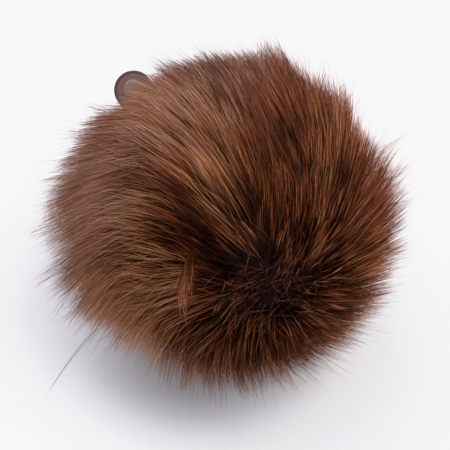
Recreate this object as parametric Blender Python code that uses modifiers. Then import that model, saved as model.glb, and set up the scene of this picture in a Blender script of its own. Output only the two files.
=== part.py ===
"""Fur pom pom with a snap tab, as it lies on a table.

A round of long-haired pelt is drawn shut behind into a ball, and its hair is combed round from a
whorl in front. A short round-ended tab with a bound edge leaves the drawn-shut place and carries a
press stud. +Z is up, the table is z = 0 and the viewer stands at -Y, looking down on the whorl.
"""

import math
import random

import bmesh
import bpy
import numpy as np
from mathutils import Matrix, Vector

MM = 0.001

# Fur: how far the hair tips reach from the ball's centre, which lies this high above the table
FUR_HALF_WIDTH = 65.0 * MM
FUR_HALF_HEIGHT = 53.5 * MM
CENTRE_HEIGHT = 49.0 * MM

# Backing: the pelt ball with its dense underfur, drawn down to the table where it presses on it
BALL_RADIUS = 40.0 * MM
BALL_DROP = 51.0 * MM
BALL_SUBDIVISIONS = 4

# Locks: wedges of long hair, three-sided, each raised on one facet of the ball
LOCK_COUNT = 280
LOCK_LIFT = 0.35
LOCK_LEAN = math.radians(26.0)
LOCK_SPREAD = math.radians(2.0)
SHORTEST_LOCK = 0.93
LONGEST_LOCK = 1.03
ROOT_RADIUS = 3.4 * MM
ROOT_PITCH = 5.0 * MM
LOWEST_ROOT = -45.0 * MM
LOCK_ROOM = 0.88
CROWDED_BELOW = -30.0 * MM
CROWDED_ROOM = 1.05
PATH_SAMPLES = 12
SEED = 7

# The camera side, from which the outline table and the tab's facing are told
VIEW_ELEVATION = math.radians(50.0)
SIGHT_RIGHT = np.array((1.0, 0.0, 0.0))
SIGHT_UP = np.array((0.0, math.sin(VIEW_ELEVATION), math.cos(VIEW_ELEVATION)))
SIGHT_NEAR = np.array((0.0, -math.cos(VIEW_ELEVATION), math.sin(VIEW_ELEVATION)))

# Whorl, the place that the hair is combed away from, and how far each pole bends the combing
WHORL = np.array((0.27, -0.90, 0.34)) / np.linalg.norm((0.27, -0.90, 0.34))
DOWN = np.array((0.0, 0.0, -1.0))
PRESSED_ANGLE = math.radians(32.0)
PRESSED_PULL = 3.0

# Sections along a lock: share of its length, half width and half thickness as shares of its root
LOCK_SECTIONS = (
    # (along, width, thickness)
    (0.30, 0.92, 0.58),
    (0.58, 0.77, 0.48),
    (0.82, 0.46, 0.30),
)

# Turn of the hair out of the straight line from the whorl, by place round it, in degrees
SWIRL = (
    # (place, turn)
    (0, 10),
    (120, 10),
    (140, 34),
    (175, 34),
    (205, 15),
    (240, 26),
    (290, 22),
    (330, 12),
    (360, 10),
)

# Swells and hollows of the fur's outline, by angle in the viewer's plane from the right, in degrees
OUTLINE = (
    # (angle, spread, rise in mm)
    (34, 12, -7.0),
    (352, 16, -3.5),
    (85, 10, -2.0),
    (134, 10, -8.5),
    (204, 14, 2.5),
    (248, 20, -7.0),
    (302, 14, 1.5),
)

# Tab: a strip that stands out of the drawn-shut back and faces the viewer
TAB_END = np.array((-35.5, 50.0, 15.7)) * MM
TAB_ROOT_TO_END = np.array((-0.59, 0.62, 0.52)) / np.linalg.norm((-0.59, 0.62, 0.52))
TAB_WIDTH = 15.0 * MM
TAB_THICKNESS = 1.6 * MM
SEAT_GAP = 0.3 * MM
EDGING_RADIUS = 0.9 * MM
EDGING_STEP = math.radians(12.0)
TAB_CLEARANCE = 2.8 * MM
OUTLOOK_RADIUS = 6.0 * MM
OUTLOOK_DEPTH = 40.0 * MM

# Press stud: radii and heights over the tab's middle, turned about the tab's normal
RIVET_RADIUS = 1.2 * MM
CAP_RADIUS = 3.9 * MM
CAP_HEIGHT = 1.3 * MM
FLANGE_RADIUS = 4.6 * MM
FLANGE_THICKNESS = 0.9 * MM
STUD_RADIUS = 2.2 * MM
STUD_HEIGHT = 2.0 * MM
TURNED_SIDES = 24


def unit(vectors):
    """The vectors at length one."""
    return vectors / np.linalg.norm(vectors, axis=-1, keepdims=True)


def away_from(pole, places):
    """The level direction, on a sphere, that leads from the pole past each place."""
    across = places * (places @ pole)[..., None] - pole
    return across / np.maximum(np.linalg.norm(across, axis=-1, keepdims=True), 1e-6)


def comb_direction(places):
    """The level direction in which the hair is combed at each place of the ball."""
    level = unit(SIGHT_RIGHT - WHORL * (SIGHT_RIGHT @ WHORL))
    raised = np.cross(WHORL, level)
    place_round = np.degrees(np.arctan2(places @ raised, places @ level)) % 360
    table = np.array(SWIRL, dtype=float)
    turn = np.radians(np.interp(place_round, table[:, 0], table[:, 1]))[..., None]
    outwards = away_from(WHORL, places)
    round_whorl = np.cross(places, outwards)
    combed = outwards * np.cos(turn) + round_whorl * np.sin(turn)
    pressed = np.exp(-((np.arccos(np.clip(places @ DOWN, -1, 1)) / PRESSED_ANGLE) ** 2))
    return unit(combed + away_from(DOWN, places) * (PRESSED_PULL * pressed)[..., None])


def lean_angle(places):
    """How far a lock's tip lies round the ball from its root: none at the whorl and behind it."""
    from_whorl = np.arccos(np.clip(places @ WHORL, -1, 1))
    return LOCK_LEAN * np.sin(from_whorl) ** 0.7


def reach(directions):
    """How far the hair tips reach from the centre: an ellipsoid with its swells, cut by the table."""
    radii = np.array((FUR_HALF_WIDTH, FUR_HALF_WIDTH, FUR_HALF_HEIGHT))
    far = 1 / np.linalg.norm(directions / radii, axis=-1)
    for angle, spread, rise in OUTLINE:
        turn = math.radians(angle)
        middle = SIGHT_RIGHT * math.cos(turn) + SIGHT_UP * math.sin(turn)
        apart = np.degrees(np.arccos(np.clip(directions @ middle, -1, 1)))
        far = far + rise * MM * np.exp(-((apart / spread) ** 2))
    return far


def over_the_table(points):
    """The points, with those that would pass through the table laid on it."""
    points = np.array(points)
    points[..., 2] = np.maximum(points[..., 2], -CENTRE_HEIGHT)
    return points


def tab_axes():
    """The tab's own directions: across it, along it and out of the side that faces the viewer."""
    along = unit(TAB_ROOT_TO_END)
    facing = unit(SIGHT_NEAR - along * (SIGHT_NEAR @ along))
    return np.cross(along, facing), along, facing


def tab_matrix():
    """Places the tab: its origin is the middle of the round end, +Y runs out and +Z faces the viewer."""
    across, along, facing = tab_axes()
    centre = TAB_END + np.array((0.0, 0.0, CENTRE_HEIGHT))
    rows = [[across[i], along[i], facing[i], centre[i]] for i in range(3)]
    return Matrix(rows + [[0, 0, 0, 1]])


def root_line(across_place):
    """How far out the tab may start, at places across it, to lie just off the pelt ball."""
    across, along, facing = tab_axes()
    height = abs(TAB_END @ facing) - TAB_THICKNESS / 2
    round_there = (BALL_RADIUS + SEAT_GAP) ** 2 - height**2
    sideways = across_place + TAB_END @ across
    return -TAB_END @ along + math.sqrt(round_there - sideways**2)


def clears_tab(path):
    """Whether a lock on this path stays clear of the tab, of what it carries and of the view on its end."""
    across, along, facing = tab_axes()
    place = path - TAB_END
    sideways, outwards, height = place @ across, place @ along, place @ facing
    top = max(TAB_THICKNESS / 2 + SEAT_GAP + CAP_HEIGHT, EDGING_RADIUS)
    bottom = TAB_THICKNESS / 2 + SEAT_GAP + FLANGE_THICKNESS + STUD_HEIGHT
    outside = (np.abs(sideways) - TAB_WIDTH / 2, outwards - TAB_WIDTH / 2, height - top, -height - bottom)
    off_tab = np.linalg.norm(np.maximum(np.stack(outside, axis=-1), 0), axis=-1)
    in_view = (np.hypot(sideways, outwards) < OUTLOOK_RADIUS) & (0 < height) & (height < OUTLOOK_DEPTH)
    return off_tab.min() > TAB_CLEARANCE and not in_view.any()


def lock_paths(roots, spread, length):
    """Root, bend and tip of a lock on each root, which leaves steeply, and the way it is combed."""
    places = unit(roots)
    combed = comb_direction(places)
    combed = unit(combed + np.cross(places, combed) * np.tan(spread)[..., None])
    lean = lean_angle(places)[..., None]
    towards = places * np.cos(lean) + combed * np.sin(lean)
    tips = over_the_table(towards * (reach(towards) * length)[..., None])
    lifted = unit(places + combed * LOCK_LIFT)
    stretch = np.linalg.norm(tips - roots, axis=-1, keepdims=True)
    bends = over_the_table(roots + lifted * stretch * 0.5)
    return np.stack((roots, bends, tips), axis=1), combed


def on_path(path, along):
    """Points of a curved path of root, bend and tip, at shares of its way."""
    along = np.asarray(along)[..., None]
    root, bend, tip = path
    return root * (1 - along) ** 2 + bend * 2 * (1 - along) * along + tip * along**2


def girth(along):
    """Mean radius of a lock at shares of its way: full at the root, drawn in to a point."""
    table = np.array(((0.0, 1.0, 1.0), *LOCK_SECTIONS, (1.0, 0.0, 0.0)))
    return ROOT_RADIUS * np.interp(along, table[:, 0], table[:, 1:].mean(axis=1))


def standing_apart(paths):
    """Which locks to raise: each the farthest from those before it, and clear of all of them."""
    shares = np.linspace(0.0, 1.0, PATH_SAMPLES)
    points = np.array([on_path(path, shares) for path in paths])
    around = girth(shares) * np.where(paths[:, 0, 2] < CROWDED_BELOW, CROWDED_ROOM, LOCK_ROOM)[:, None]
    chosen = []
    nearest = np.full(len(paths), np.inf)
    while len(chosen) < LOCK_COUNT and nearest.max() > ROOT_PITCH:
        which = int(nearest.argmax())
        nearest[which] = 0.0
        apart = np.linalg.norm(points[chosen][:, :, None] - points[which][None, None], axis=-1)
        room = around[chosen][:, :, None] + around[which][None, None]
        if chosen and (apart < room).any():
            continue
        chosen.append(which)
        nearest = np.minimum(nearest, np.linalg.norm(points[:, 0] - points[which, 0], axis=1))
    return chosen


def ball_surface(places):
    """The backing at each direction: a ball, drawn down below and pressed flat on the table."""
    stretch = np.where(places[..., 2:] < 0, BALL_DROP / BALL_RADIUS, 1.0)
    drawn = places * BALL_RADIUS
    drawn[..., 2:] *= stretch
    return over_the_table(drawn)


def raise_lock(mesh, facet, path, combed):
    """Extrudes one facet along its path in sections and draws the last one to a point."""
    upward = unit(np.array(facet.normal))
    forward = unit(combed - upward * (combed @ upward))
    sideways = np.cross(upward, forward)
    corners = [np.array(corner.co) - path[0] for corner in facet.verts]
    placed = [(corner @ sideways, corner @ forward) for corner in corners]
    for along, width, thickness in LOCK_SECTIONS:
        heading = unit((path[1] - path[0]) * (1 - along) + (path[2] - path[1]) * along)
        across = unit(sideways - heading * (sideways @ heading))
        through = np.cross(across, heading)
        facet = bmesh.ops.extrude_discrete_faces(mesh, faces=[facet])["faces"][0]
        for corner, (aside, ahead) in zip(facet.verts, placed):
            place = on_path(path, along) + across * aside * width + through * ahead * thickness
            corner.co = Vector(over_the_table(place))
    point = bmesh.ops.poke(mesh, faces=[facet])["verts"][0]
    point.co = Vector(path[2])


def add_object(name, mesh, material, parent):
    """Links a named object to the pom pom's collection, under its parent."""
    thing = bpy.data.objects.new(name, mesh)
    thing.data.materials.append(material)
    bpy.data.collections["pom_pom"].objects.link(thing)
    thing.parent = parent
    return thing


def add_material(name, colour, roughness, metallic=0.0):
    """A plain Principled material."""
    material = bpy.data.materials.new(name)
    material.use_nodes = True
    shader = material.node_tree.nodes["Principled BSDF"]
    shader.inputs["Base Color"].default_value = (*colour, 1.0)
    shader.inputs["Roughness"].default_value = roughness
    shader.inputs["Metallic"].default_value = metallic
    return material


def build_fur(parent, material):
    """The pelt ball with its locks, one closed body with a flat spot on the table."""
    mesh = bmesh.new()
    bmesh.ops.create_icosphere(mesh, subdivisions=BALL_SUBDIVISIONS, radius=1.0)
    for corner in mesh.verts:
        corner.co = Vector(ball_surface(unit(np.array(corner.co))))
    mesh.normal_update()
    facets = [facet for facet in mesh.faces if facet.calc_center_median().z > LOWEST_ROOT]
    roots = np.array([facet.calc_center_median() for facet in facets])
    chance = random.Random(SEED)
    spread = np.array([chance.uniform(-LOCK_SPREAD, LOCK_SPREAD) for _ in facets])
    length = np.array([chance.uniform(SHORTEST_LOCK, LONGEST_LOCK) for _ in facets])
    paths, combed = lock_paths(roots, spread, length)
    clear = np.array([clears_tab(on_path(path, np.linspace(0, 1, PATH_SAMPLES))) for path in paths])
    clear = np.flatnonzero(clear)
    for which in clear[standing_apart(paths[clear])]:
        raise_lock(mesh, facets[which], paths[which], combed[which])
    bmesh.ops.triangulate(mesh, faces=mesh.faces[:])
    data = bpy.data.meshes.new("fur")
    mesh.to_mesh(data)
    mesh.free()
    fur = add_object("fur", data, material, parent)
    fur.location.z = CENTRE_HEIGHT
    return fur


def tab_outline(half_width, start):
    """Corners of the strip, from its root up one side, round the end and down the other."""
    turns = np.arange(0.0, math.pi + EDGING_STEP / 2, EDGING_STEP)
    end = [(half_width * math.cos(turn), half_width * math.sin(turn)) for turn in turns]
    return [(half_width, start)] + end + [(-half_width, start)]


def build_tab(parent, material):
    """The leather strip: a flat outline with a hollowed root and a hole for the rivet."""
    half_width = TAB_WIDTH / 2 - 2 * EDGING_RADIUS - SEAT_GAP
    outline = tab_outline(half_width, root_line(half_width))
    seat = [(place, root_line(place)) for place in (-half_width / 2, 0.0, half_width / 2)]
    hole_radius = RIVET_RADIUS + SEAT_GAP
    turns = np.arange(TURNED_SIDES) * (math.tau / TURNED_SIDES)
    hole = [(hole_radius * math.cos(turn), hole_radius * math.sin(turn)) for turn in turns]
    curve = bpy.data.curves.new("tab", "CURVE")
    curve.dimensions = "2D"
    curve.fill_mode = "BOTH"
    curve.extrude = TAB_THICKNESS / 2
    for corners in (outline + seat, hole):
        spline = curve.splines.new("POLY")
        spline.points.add(len(corners) - 1)
        for point, corner in zip(spline.points, corners):
            point.co = (*corner, 0.0, 1.0)
        spline.use_cyclic_u = True
    return add_object("tab", curve, material, parent)


def build_edging(parent, material):
    """The binding: a round bead along the tab's two sides and its end."""
    half_width = TAB_WIDTH / 2 - EDGING_RADIUS
    start = root_line(half_width + EDGING_RADIUS) + EDGING_RADIUS
    curve = bpy.data.curves.new("edging", "CURVE")
    curve.dimensions = "3D"
    curve.bevel_depth = EDGING_RADIUS
    curve.bevel_resolution = 2
    curve.use_fill_caps = True
    corners = tab_outline(half_width, start)
    spline = curve.splines.new("POLY")
    spline.points.add(len(corners) - 1)
    for point, corner in zip(spline.points, corners):
        point.co = (*corner, 0.0, 1.0)
    return add_object("edging", curve, material, parent)


def build_press_stud(parent, material):
    """Cap, rivet, flange and stud, turned in one about the tab's normal."""
    face = TAB_THICKNESS / 2 + SEAT_GAP
    back = -face - FLANGE_THICKNESS
    stud_end = back - STUD_HEIGHT
    profile = (
        (0.0, face + CAP_HEIGHT),
        (CAP_RADIUS * 0.60, face + CAP_HEIGHT * 0.88),
        (CAP_RADIUS * 0.90, face + CAP_HEIGHT * 0.55),
        (CAP_RADIUS, face + CAP_HEIGHT * 0.20),
        (CAP_RADIUS * 0.96, face),
        (RIVET_RADIUS, face),
        (RIVET_RADIUS, -face),
        (FLANGE_RADIUS, -face),
        (FLANGE_RADIUS, back),
        (STUD_RADIUS * 0.85, back),
        (STUD_RADIUS, back - STUD_HEIGHT * 0.60),
        (STUD_RADIUS * 0.85, stud_end),
        (0.0, stud_end),
    )
    data = bpy.data.meshes.new("press_stud")
    corners = [(radius, 0.0, height) for radius, height in profile]
    data.from_pydata(corners, [(i, i + 1) for i in range(len(corners) - 1)], [])
    stud = add_object("press_stud", data, material, parent)
    screw = stud.modifiers.new("turned", "SCREW")
    screw.axis = "Z"
    screw.steps = TURNED_SIDES
    screw.render_steps = TURNED_SIDES
    screw.use_merge_vertices = True
    screw.merge_threshold = 0.0001
    return stud


def main():
    """Empties the scene and builds the pom pom, its tab, the tab's edging and the press stud."""
    for thing in list(bpy.data.objects):
        bpy.data.objects.remove(thing)
    collection = bpy.data.collections.new("pom_pom")
    bpy.context.scene.collection.children.link(collection)
    tab_place = bpy.data.objects.new("tab_place", None)
    collection.objects.link(tab_place)
    tab_place.matrix_world = tab_matrix()
    build_fur(None, add_material("long_fur", (0.19, 0.075, 0.04), 0.6))
    build_tab(tab_place, add_material("brown_leather", (0.13, 0.075, 0.06), 0.55))
    build_edging(tab_place, add_material("dark_binding", (0.06, 0.035, 0.03), 0.7))
    build_press_stud(tab_place, add_material("satin_plastic", (0.30, 0.21, 0.19), 0.4))


main()
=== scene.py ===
"""Fur pom pom with a snap tab: the look of every piece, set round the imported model.

The hair is laid in clumps that follow one combing of the ball, from a whorl in front to the place
behind where the pelt is drawn shut. Lengths are in metres, +Z is up and the viewer is at -Y.
"""

import logging
import math
from dataclasses import dataclass, field
from enum import Enum

import bpy
import numpy as np
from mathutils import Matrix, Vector


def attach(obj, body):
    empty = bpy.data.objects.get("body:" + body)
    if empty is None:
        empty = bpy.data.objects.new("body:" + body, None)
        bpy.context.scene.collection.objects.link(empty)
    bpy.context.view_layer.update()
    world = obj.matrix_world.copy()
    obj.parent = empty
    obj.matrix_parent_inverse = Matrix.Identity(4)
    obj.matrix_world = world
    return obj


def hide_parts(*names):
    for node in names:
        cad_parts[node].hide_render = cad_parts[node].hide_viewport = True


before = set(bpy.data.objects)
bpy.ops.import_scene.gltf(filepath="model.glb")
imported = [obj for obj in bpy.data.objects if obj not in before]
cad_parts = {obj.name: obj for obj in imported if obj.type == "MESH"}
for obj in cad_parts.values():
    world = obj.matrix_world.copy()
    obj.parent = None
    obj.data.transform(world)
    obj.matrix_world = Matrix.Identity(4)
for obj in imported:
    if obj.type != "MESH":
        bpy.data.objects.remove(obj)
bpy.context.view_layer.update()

MM = 0.001
LOG = logging.getLogger("pom_pom")
Array = np.ndarray
Colour = tuple[float, float, float, float]

# Shared with the solids: the ball's centre over the table and the pelt's radius
CENTRE = np.array((0.0, 0.0, 49.0)) * MM
PELT_RADIUS = 40.0 * MM
DOWN = np.array((0.0, 0.0, -1.0))

# Name of the map that the hair's colour is read from: tint across, root to tip upwards
HAIR_MAP = "OFBake"

# How far the tones of one kind of hair run across that map
TONE_SPAN = 0.455

# A hair that the tab would cut to less than this share of its length is left out
KEPT_SHARE = 0.45


def unit(vectors: Array) -> Array:
    """Returns the vectors at length one."""
    return vectors / np.maximum(np.linalg.norm(vectors, axis=-1, keepdims=True), 1e-12)


def smooth(share: Array) -> Array:
    """Returns 3s^2 - 2s^3 of the share held within 0 and 1."""
    held = np.clip(share, 0.0, 1.0)
    return held * held * (3 - 2 * held)


def linear(hex_colour: str) -> Colour:
    """Turns an sRGB hex colour into linear light.

    Args:
        hex_colour: six hex digits, with or without a leading #.

    Returns:
        Red, green, blue and an alpha of 1.
    """
    digits = hex_colour.lstrip("#")
    parts = [int(digits[i : i + 2], 16) / 255 for i in (0, 2, 4)]
    light = [p / 12.92 if p <= 0.04045 else ((p + 0.055) / 1.055) ** 2.4 for p in parts]
    return (light[0], light[1], light[2], 1.0)


def add_node(
    tree: bpy.types.NodeTree, kind: str, settings: dict | None = None, links: dict | None = None
) -> bpy.types.Node:
    """Adds a node with its settings and links.

    Args:
        tree: the node tree.
        kind: the node's type name.
        settings: attribute or input names with their values.
        links: input names with the output sockets that feed them.

    Returns:
        The node.
    """
    node = tree.nodes.new(kind)
    for name, value in (settings or {}).items():
        if hasattr(node, name):
            setattr(node, name, value)
        else:
            node.inputs[name].default_value = value
    for name, socket in (links or {}).items():
        tree.links.new(socket, node.inputs[name])
    return node


@dataclass(frozen=True)
class Sight:
    """The photograph's view of the ball, and places told on the picture's plane."""

    elevation: float = math.radians(50.0)
    lens_mm: float = 70.0
    distance: float = 310.0 * MM
    aim_left: float = 1.06 * MM
    aim_below: float = 2.5 * MM

    @property
    def right(self) -> Array:
        """The viewer's right."""
        return np.array((1.0, 0.0, 0.0))

    @property
    def up(self) -> Array:
        """The picture's up."""
        return np.array((0.0, math.sin(self.elevation), math.cos(self.elevation)))

    @property
    def near(self) -> Array:
        """The way from the ball to the viewer."""
        return np.array((0.0, -math.cos(self.elevation), math.sin(self.elevation)))

    def on_picture(self, places: Array) -> tuple[Array, Array, Array]:
        """Returns how far right, up and near the places, told from the ball's centre, are seen."""
        near = places @ self.near
        larger = self.distance / (self.distance - near)
        return places @ self.right * larger, places @ self.up * larger, near

    def place_at(self, across: Array, raised: Array, radius: float = 58.0 * MM) -> Array:
        """Returns the directions of the ball's front that are seen at those picture places.

        Four rounds settle how much larger the nearer places look.

        Args:
            across: how far right of the ball's centre they are seen.
            raised: how far above it they are seen.
            radius: how far from the centre they lie.
        """
        larger = np.ones(np.shape(across))
        for _ in range(4):
            aside, over = across / larger, raised / larger
            near = np.sqrt(np.maximum(radius**2 - aside**2 - over**2, 0.0))
            larger = self.distance / (self.distance - near)
        flat = aside[..., None] * self.right + over[..., None] * self.up
        return unit(flat + near[..., None] * self.near)


SIGHT = Sight()


@dataclass(frozen=True)
class Waves:
    """Smooth noise over the ball: a sum of plane sine waves with seeded headings and phases."""

    seed: int
    pitch: float
    count: int = 9

    def at(self, places: Array) -> Array:
        """Returns the noise at each direction, with a spread of about one."""
        chance = np.random.default_rng(self.seed)
        headings = unit(chance.normal(size=(self.count, 3)))
        rates = math.tau * CENTRE[2] / self.pitch * chance.uniform(0.7, 1.4, self.count)
        phases = chance.uniform(0, math.tau, self.count)
        waves = np.sin(places @ (headings * rates[:, None]).T + phases)
        return waves.sum(axis=-1) * math.sqrt(2 / self.count)


@dataclass(frozen=True)
class Combing:
    """Which way the hair lies and how far it reaches, at each place of the ball.

    A hair keeps root_hold of the turn that the combing has at its root, so it stays nearly straight
    where the combing bends.
    """

    whorl: tuple[float, float, float] = (0.27, -0.95, -0.15)
    border_bend: float = 0.50
    root_hold: float = 0.65
    border_middle: float = 65.0
    half_width: float = 65.0 * MM
    half_height: float = 53.5 * MM
    shortest: float = 49.0 * MM
    pressed_angle: float = math.radians(32.0)
    pressed_pull: float = 3.0
    # Share of rich hair by place: painted light on the upper left and rim, painted shade on the lower
    # right
    least_rich: float = 0.30
    gain_in_rich: float = 0.65
    rich_from: float = 90.0 * MM
    rich_over: float = 52.0 * MM
    fold_edge: float = 20.0 * MM

    # Turn of the hair out of the straight line from the whorl, by place round it, in degrees
    swirl = (
        # (place, turn)
        (0, 36),
        (40, 34),
        (80, 22),
        (100, 8),
        (109, 11),
        (117, 92),
        (144, 104),
        (165, 88),
        (182, 64),
        (205, 34),
        (240, 50),
        (290, 60),
        (330, 42),
        (360, 36),
    )

    # Swells and hollows of the fur's outline, by angle in the picture from the right
    outline = (
        # (angle, spread, rise in mm)
        (36, 8, -9.0),
        (352, 16, -3.5),
        (88, 14, 0.5),
        (78, 5, 10.5),
        (54, 6, 4.0),
        (21, 7, 5.0),
        (113, 9, 3.0),
        (182, 22, 2.0),
        (134, 10, -8.5),
        (204, 14, 2.5),
        (243, 16, -16.0),
        (302, 14, 1.5),
    )

    # Folds of the front: picture place and half sizes in mm, angle, rise in mm, and the light painted on
    # their hair: above 0 painted light, below 0 painted shade
    folds = (
        # (across, up, angle, long, wide, rise, painted light and shade)
        (-35.0, 10.8, 178, 11.0, 1.9, -4.5, -0.45),
        (-19.5, 11.0, 128, 10.0, 3.4, -4.0, -0.40),
        (-6.5, -14.0, 128, 11.0, 5.5, -7.0, -0.40),
        (-14.0, -2.0, 140, 11.0, 5.0, -5.0, -0.36),
        (-10.5, 13.0, 122, 24.0, 5.0, 3.0, 0.08),
        (-1.0, 20.0, 112, 18.0, 5.0, 1.0, 0.10),
        (16.0, -29.5, 0, 10.0, 8.0, -5.0, -0.30),
        (8.0, -16.0, 110, 14.0, 7.0, -2.0, -0.20),
        (25.0, -2.0, 95, 14.0, 7.0, 0.0, -0.08),
        (30.8, -19.0, 35, 10.0, 3.0, -3.0, -0.16),
        (-11.7, -36.8, 20, 7.0, 3.0, -3.0, -0.08),
        (-28.0, -26.0, 28, 18.0, 10.0, 1.5, 0.40),
        (-39.0, 2.0, 0, 14.0, 12.0, 0.0, 0.34),
        (-36.0, 30.0, 135, 14.0, 8.0, 0.0, 0.15),
        (-48.0, 22.0, 60, 18.0, 12.0, 0.0, 0.28),
        (-44.0, 4.0, 100, 48.0, 24.0, 0.0, 0.17),
        (-50.0, -20.0, 110, 14.0, 9.0, 0.0, 0.16),
        (-28.0, -45.0, 20, 14.0, 7.0, 0.0, 0.16),
        (0.0, 5.0, 110, 10.0, 5.0, 0.0, 0.24),
        (-9.5, -23.0, 90, 9.0, 3.5, -1.5, -0.34),
        (12.0, 24.0, 100, 13.0, 6.0, 0.0, -0.27),
        (16.0, -49.0, 0, 28.0, 10.0, 0.0, -0.14),
        (-24.0, 40.0, 150, 24.0, 13.0, 0.0, 0.48),
        (-45.0, 8.0, 0, 12.0, 20.0, 0.0, 0.20),
        (25.5, 5.0, 95, 20.0, 6.0, -1.0, -0.14),
        (22.0, 38.0, 80, 16.0, 9.0, 0.0, -0.25),
        (51.0, 8.0, 80, 20.0, 9.0, 0.0, -0.16),
        (-25.0, -6.5, 155, 9.0, 4.5, -3.0, -0.42),
        (46.0, -22.0, 60, 14.0, 10.0, 0.0, -0.08),
    )

    @property
    def pole(self) -> Array:
        """The whorl's direction."""
        return unit(np.array(self.whorl))

    def away_from(self, pole: Array, places: Array) -> Array:
        """Returns the level direction that leads from the pole past each place."""
        return unit(places * (places @ pole)[..., None] - pole)

    def place_round(self, places: Array) -> Array:
        """Returns the place round the whorl in degrees, from the viewer's right."""
        level = unit(SIGHT.right - self.pole * (SIGHT.right @ self.pole))
        raised = np.cross(self.pole, level)
        return np.degrees(np.arctan2(places @ raised, places @ level)) % 360

    def swirl_at(self, places: Array) -> Array:
        """Returns the turn out of the straight line from the whorl at each place, in radians."""
        table = np.array(self.swirl, dtype=float)
        from_whorl = np.degrees(np.arccos(np.clip(places @ self.pole, -1, 1)))
        place = (self.place_round(places) + self.border_bend * (from_whorl - self.border_middle)) % 360
        return np.radians(np.interp(place, table[:, 0], table[:, 1]))

    def heading(self, places: Array, turn: Array) -> Array:
        """Returns the way the hair is combed: out from the whorl, turned, and out from under the ball.

        Args:
            places: directions from the ball's centre.
            turn: the turn out of the straight line from the whorl, in radians.
        """
        turned = turn[..., None]
        outwards = self.away_from(self.pole, places)
        combed = outwards * np.cos(turned) + np.cross(places, outwards) * np.sin(turned)
        pressed = np.exp(-((np.arccos(np.clip(places @ DOWN, -1, 1)) / self.pressed_angle) ** 2))
        lifted = self.away_from(DOWN, places) * (self.pressed_pull * pressed)[..., None]
        along = combed + lifted
        return unit(along - places * np.sum(along * places, axis=-1, keepdims=True))

    def painted_light_richness(self, places: Array) -> Array:
        """Returns the share of rich hair at places told from the ball's centre.

        The share changes by place: fewer rich hairs paint the upper left and the rim as lit, paler and
        greyer, and more paint the lower right's shade darker and redder.
        """
        across, raised, _ = SIGHT.on_picture(places)
        sheltered = across - raised - 0.5 * np.hypot(across, raised)
        return self.least_rich + self.gain_in_rich * smooth((sheltered + self.rich_from) / self.rich_over)

    def fold(self, places: Array) -> tuple[Array, Array]:
        """Returns how far the folds raise the fur and the light and shade painted on its hair, at each
        place.

        Args:
            places: told from the ball's centre.
        """
        across, raised, near = SIGHT.on_picture(places)
        rise = np.zeros(across.shape)
        painted_light_and_shade = np.zeros(across.shape)
        # pale is the painted light on the hair where above 0, and the painted shade where below 0
        for middle, height, angle, long, wide, up, pale in self.folds:
            turn = math.radians(angle)
            aside, over = across - middle * MM, raised - height * MM
            along = (aside * math.cos(turn) + over * math.sin(turn)) / (long * MM)
            off = (over * math.cos(turn) - aside * math.sin(turn)) / (wide * MM)
            share = np.exp(-(along**2) - off**2) * smooth(near / self.fold_edge)
            rise = rise + up * MM * share
            painted_light_and_shade = painted_light_and_shade + pale * share
        return rise, painted_light_and_shade

    def reach(self, places: Array) -> Array:
        """Returns how far the tips reach: an ellipsoid with the outline's swells and the folds."""
        radii = np.array((self.half_width, self.half_width, self.half_height))
        far = 1 / np.linalg.norm(places / radii, axis=-1)
        for angle, spread, rise in self.outline:
            turn = math.radians(angle)
            middle = SIGHT.right * math.cos(turn) + SIGHT.up * math.sin(turn)
            apart = np.degrees(np.arccos(np.clip(places @ middle, -1, 1)))
            far = far + rise * MM * np.exp(-((apart / spread) ** 2))
        return np.maximum(far + self.fold(places * far[..., None])[0], self.shortest)

    def walk(self, roots: Array, turn: Array, lean: Array, steps: int) -> Array:
        """Walks from each root over the ball, against the combing's own bends.

        Args:
            roots: directions of the roots.
            turn: each hair's own turn, in radians.
            lean: how far round the ball each hair goes, in radians.
            steps: how many strides the way is taken in.

        Returns:
            Directions, one row for each root and one column for each stop.
        """
        stops = [roots]
        stride = (lean / steps)[:, None]
        at_root = self.swirl_at(roots)
        for _ in range(steps):
            here = stops[-1]
            swirl = at_root * self.root_hold + self.swirl_at(here) * (1 - self.root_hold)
            stops.append(unit(here * np.cos(stride) + self.heading(here, swirl + turn) * np.sin(stride)))
        return np.stack(stops, axis=1)


def over_the_table(points: Array, clear: float) -> Array:
    """Returns the points, with those that would pass the table laid that far over it."""
    laid = np.array(points)
    laid[..., 2] = np.maximum(laid[..., 2], clear)
    return laid


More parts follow.
